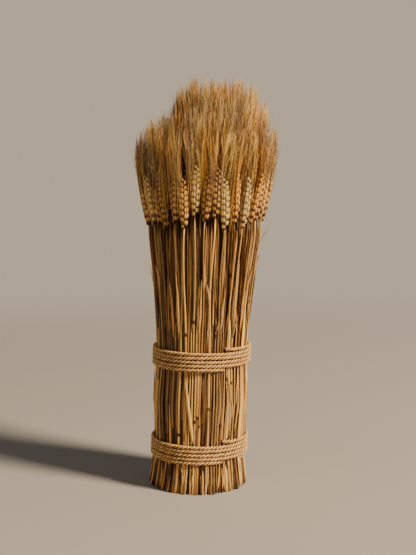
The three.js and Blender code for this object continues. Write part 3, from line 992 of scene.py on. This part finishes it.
def dry_material(
        name, body, shade=0.3, light=1.45, warm=(0.9, 0.8), grey=(0.3, 0.26, 0.2),
        streaks=(1.6, 0.35), streakiness=0.5, greying=0.3, specks=0.5, patch_scale=22.0,
        roughness=0.6, bump=0.3):
    """The finish of a dry plant fibre, with its own colours and values for the shared groups.

    Its shade and light are factors of the body colour. In the shade it turns redder, and warm holds
    the factors of green and blue in the light.
    """
    if name in bpy.data.materials:
        return bpy.data.materials[name]
    material = bpy.data.materials.new(name)
    material.use_nodes = True
    tree = material.node_tree
    link = tree.links.new
    surface = tree.nodes["Principled BSDF"]
    surface.inputs["Roughness"].default_value = roughness
    surface.inputs["Specular IOR Level"].default_value = DRY_SPECULAR
    fibre = add_node(tree, "ShaderNodeGroup", node_tree=fibre_streaks())
    worn = add_node(tree, "ShaderNodeGroup", node_tree=weathering())
    colour = add_node(tree, "ShaderNodeGroup", node_tree=dry_colour())
    relief = add_node(tree, "ShaderNodeBump", {"Strength": bump, "Distance": 0.0004})
    fibre.inputs["Across"].default_value, fibre.inputs["Along"].default_value = streaks
    worn.inputs["Patch Scale"].default_value = patch_scale
    red, green, blue = body
    bright = (red * light, green * light * warm[0], blue * light * warm[1])
    tints = {
        "Shade": (red * shade, green * shade * 0.76, blue * shade * 0.8, 1),
        "Body": (red, green, blue, 1),
        "Light": (*(min(1, part) for part in bright), 1),
        "Grey": (*grey, 1),
        "Streakiness": streakiness,
        "Greying": greying,
        "Specks": specks,
    }
    for label, value in tints.items():
        colour.inputs[label].default_value = value
    link(fibre.outputs["Streak"], colour.inputs["Streak"])
    link(worn.outputs["Patch"], colour.inputs["Patch"])
    link(worn.outputs["Speck"], colour.inputs["Speck"])
    link(colour.outputs["Color"], surface.inputs["Base Color"])
    link(fibre.outputs["Height"], relief.inputs["Height"])
    link(relief.outputs["Normal"], surface.inputs["Normal"])
    return material


def bunch_materials(slot):
    """A bunch's materials, in the order of STRAW, EAR, AWN, LEAF and CUT."""
    colours = bpy.context.scene.sheaf_colours
    kind = slot.split("_")[0]
    body, gold = Vector(getattr(colours, kind)), Vector(colours.gold)
    straw = body.lerp(gold, 0.6)
    ear = body * 1.06 + Vector((0, 0.009, 0.004))
    awn = body.lerp(gold, 0.3) * 1.62 + Vector((0, 0.024, 0.004))
    leaf = straw + Vector((0, 0.014, 0))
    return [
        dry_material(
            f"straw_{kind}", straw * 0.86, shade=0.15, light=2.7, grey=(0.22, 0.15, 0.085),
            streakiness=0.75, greying=0.2, roughness=0.38),
        dry_material(
            f"ear_{kind}", ear, shade=0.11, light=1.8, warm=(0.93, 0.75), streaks=(1.6, 0.9),
            greying=0.15, bump=0.5),
        dry_material(
            f"awn_{kind}", awn, shade=0.24, light=1.5, grey=(0.29, 0.235, 0.165), greying=0.45,
            specks=0, patch_scale=34.0, roughness=0.45, bump=0.0),
        dry_material(
            f"leaf_{kind}", leaf, shade=0.2, warm=(1.0, 0.8), grey=(0.3, 0.24, 0.15),
            streaks=(2.4, 0.3), roughness=0.7),
        dry_material(f"cut_{kind}", straw * 0.8, streaks=(3.0, 3.0), roughness=0.85),
    ]


def rope_material(colours):
    return dry_material(
        "rope_fibre", Vector(colours.rope) * 0.94, shade=0.08, light=2.5, warm=(1.02, 1.1),
        streaks=(2.6, 0.5), streakiness=0.7, greying=0.1, specks=0.25, roughness=0.55, bump=0.8)


# Stage


def floor_paint(colour):
    """Plain matt paint, which far from the sheaf looks like the room, so that no horizon shows."""
    material = bpy.data.materials.new("floor_paint")
    material.use_nodes = True
    tree = material.node_tree
    link = tree.links.new
    surface = tree.nodes["Principled BSDF"]
    surface.inputs["Base Color"].default_value = (*colour, 1)
    surface.inputs["Roughness"].default_value = 0.75
    place = add_node(tree, "ShaderNodeTexCoord")
    distance = add_node(tree, "ShaderNodeVectorMath", operation="LENGTH")
    far = add_node(
        tree, "ShaderNodeMapRange", {"From Min": 0.5, "From Max": 2.8}, interpolation_type="SMOOTHSTEP")
    path = add_node(tree, "ShaderNodeLightPath")
    share = add_node(tree, "ShaderNodeMath", operation="MULTIPLY")
    room = add_node(tree, "ShaderNodeEmission", {"Color": ROOM_COLOUR})
    mix = add_node(tree, "ShaderNodeMixShader")
    link(place.outputs["Object"], distance.inputs[0])
    link(distance.outputs["Value"], far.inputs["Value"])
    link(far.outputs["Result"], share.inputs[0])
    link(path.outputs["Is Camera Ray"], share.inputs[1])
    link(share.outputs["Value"], mix.inputs["Fac"])
    link(surface.outputs["BSDF"], mix.inputs[1])
    link(room.outputs["Emission"], mix.inputs[2])
    link(mix.outputs["Shader"], tree.nodes["Material Output"].inputs["Surface"])
    return material


def add_light(name, place, target, size, power, colour):
    light = bpy.data.lights.new(name, "AREA")
    light.shape = "DISK"
    light.size = size
    light.energy = power
    light.color = colour
    lamp = bpy.data.objects.new(name, light)
    lamp.location = place
    lamp.rotation_euler = (Vector(target) - Vector(place)).to_track_quat("-Z", "Y").to_euler()
    bpy.context.scene.collection.objects.link(lamp)


class SHEAF_OT_stage(bpy.types.Operator):
    """Add the floor, the soft lights and the camera"""

    bl_idname = "sheaf.stage"
    bl_label = "Stage"

    def execute(self, context):
        settings = context.scene.sheaf_stage
        self.add_camera(context.scene, settings)
        self.add_floor(context.scene.sheaf_colours)
        add_light("key_light", place=(5.4, -2.9, 4.6), target=(0, 0, 0.33), size=1.7,
                  power=settings.key_power, colour=(1.0, 0.85, 0.64))
        add_light("fill_light", place=(-1.6, -1.3, 0.9), target=(0, 0, 0.3), size=1.4,
                  power=settings.fill_power, colour=(1.0, 0.96, 0.94))
        self.add_room(context.scene)
        return {"FINISHED"}

    def add_room(self, scene):
        """A pale room: plain where the camera sees it, and dimmer as the light it gives."""
        world = bpy.data.worlds.new("room")
        world.use_nodes = True
        tree = world.node_tree
        seen = tree.nodes["Background"]
        seen.inputs["Color"].default_value = ROOM_COLOUR
        given = add_node(
            tree, "ShaderNodeBackground", {"Color": (0.48, 0.46, 0.445, 1), "Strength": 0.25})
        path = add_node(tree, "ShaderNodeLightPath")
        mix = add_node(tree, "ShaderNodeMixShader")
        tree.links.new(path.outputs["Is Camera Ray"], mix.inputs["Fac"])
        tree.links.new(given.outputs["Background"], mix.inputs[1])
        tree.links.new(seen.outputs["Background"], mix.inputs[2])
        tree.links.new(mix.outputs["Shader"], tree.nodes["World Output"].inputs["Surface"])
        scene.world = world

    def add_camera(self, scene, settings):
        lens = bpy.data.cameras.new("camera")
        lens.sensor_fit = "VERTICAL"
        lens.sensor_height = 36
        lens.lens = settings.camera_lens
        camera = bpy.data.objects.new("camera", lens)
        camera.location = (0.015, -settings.camera_distance, settings.camera_height)
        camera.rotation_euler = (math.pi / 2 - settings.camera_pitch, 0, 0)
        scene.collection.objects.link(camera)
        scene.camera = camera

    def add_floor(self, colours):
        bm = bmesh.new()
        bmesh.ops.create_circle(bm, cap_ends=True, segments=64, radius=6)
        mesh = bpy.data.meshes.new("floor")
        bm.to_mesh(mesh)
        bm.free()
        mesh.materials.append(floor_paint(colours.floor))
        floor = bpy.data.objects.new("floor", mesh)
        bpy.context.scene.collection.objects.link(floor)


class SHEAF_PT_panel(bpy.types.Panel):
    """Sizes and colours of the sheaf, and the steps that build it"""

    bl_idname = "SHEAF_PT_panel"
    bl_label = "Wheat Sheaf"
    bl_space_type = "VIEW_3D"
    bl_region_type = "UI"
    bl_category = "Wheat Sheaf"

    def draw(self, context):
        for settings in SETTINGS:
            box = self.layout.box()
            group = getattr(context.scene, settings)
            for name in group.bl_rna.properties.keys():
                if name not in ("rna_type", "name"):
                    box.prop(group, name)
        for operator in OPERATORS:
            self.layout.operator(operator.bl_idname)


SETTINGS = {
    "sheaf_straw": StrawSettings,
    "sheaf_ears": EarSettings,
    "sheaf_rope": RopeSettings,
    "sheaf_colours": ColourSettings,
    "sheaf_stage": StageSettings,
}
OPERATORS = [SHEAF_OT_stage, SHEAF_OT_outer_bunches, SHEAF_OT_inner_bunches, SHEAF_OT_rope_bands]


def register():
    for settings in [*SETTINGS.values(), *OPERATORS, SHEAF_PT_panel]:
        bpy.utils.register_class(settings)
    for name, settings in SETTINGS.items():
        setattr(bpy.types.Scene, name, bpy.props.PointerProperty(type=settings))


def unregister():
    for name in SETTINGS:
        delattr(bpy.types.Scene, name)
    for settings in reversed([*SETTINGS.values(), *OPERATORS, SHEAF_PT_panel]):
        bpy.utils.unregister_class(settings)


def main():
    register()
    bpy.ops.sheaf.stage()
    bpy.ops.sheaf.outer_bunches()
    bpy.ops.sheaf.inner_bunches()
    bpy.ops.sheaf.rope_bands()


if __name__ == "__main__":
    main()
